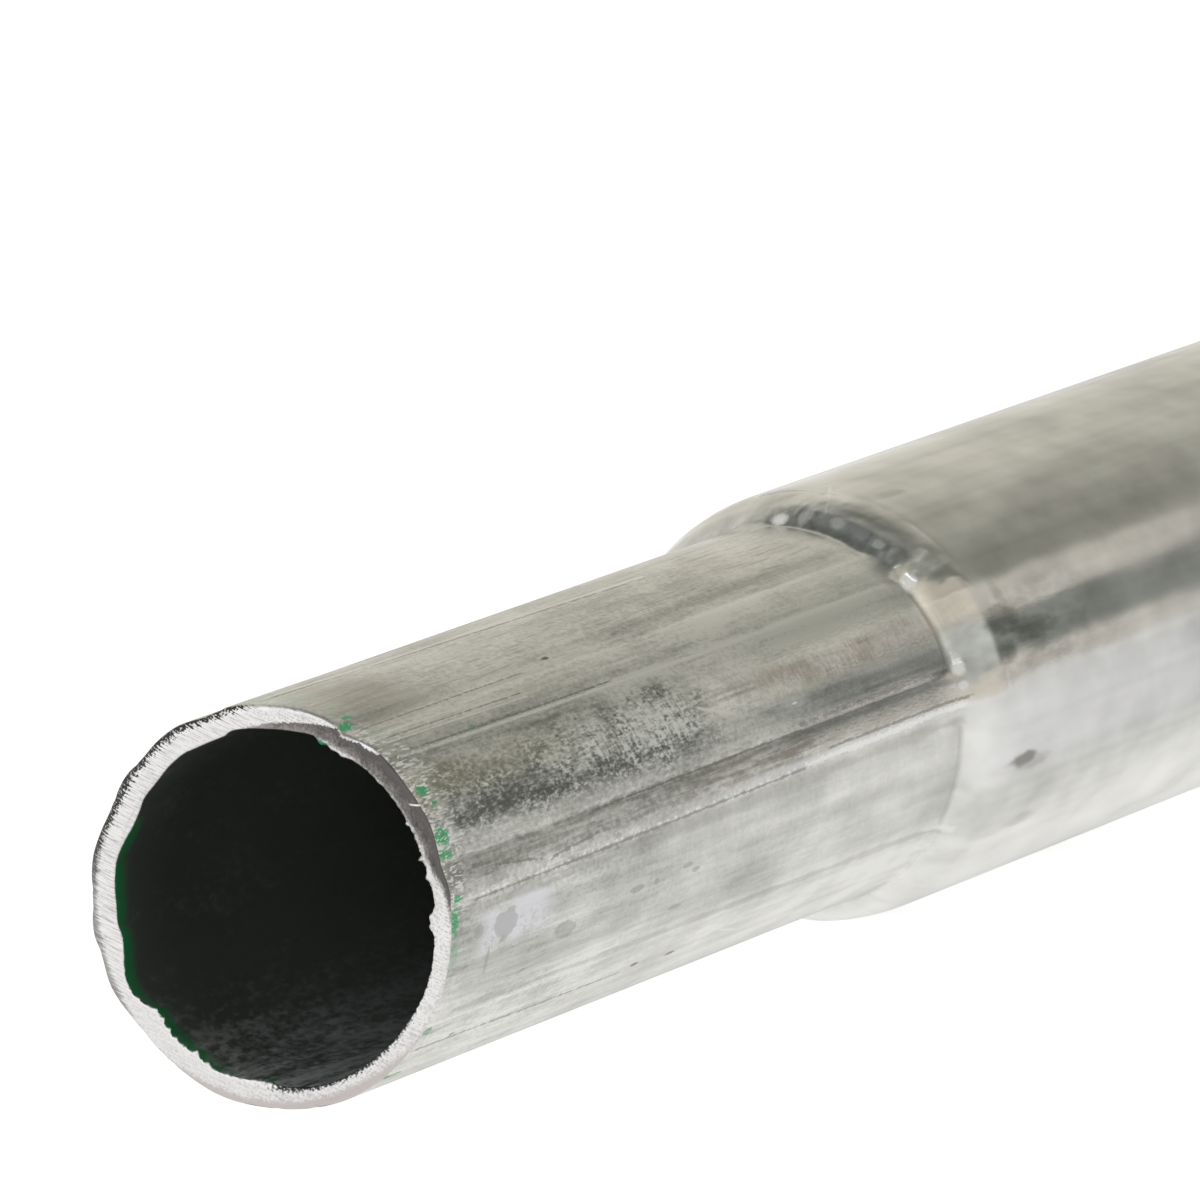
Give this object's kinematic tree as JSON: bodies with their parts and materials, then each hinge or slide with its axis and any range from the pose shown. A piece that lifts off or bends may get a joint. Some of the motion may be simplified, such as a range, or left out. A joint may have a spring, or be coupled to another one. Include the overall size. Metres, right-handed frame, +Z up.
{
  "type": "swaged round steel pipe",
  "caption": "Long round galvanised steel pipe with one end pressed down to a ribbed spigot that slides into the plain end of the next pipe, for fence rails and light frames.",
  "frame": {"origin": "on the surface the pipe lies on, below the middle of its length", "axes": "+X along the pipe from the swaged end to the plain end, +Y across, +Z up"},
  "size_m": [3.2, 0.0348, 0.0349],
  "materials": {
    "galvanised_steel": "dull zinc with streaks, die marks and a bright sawn end"
  },
  "bodies": {
    "root": {"steel_pipe": "galvanised_steel"}
  },
  "joints": []
}
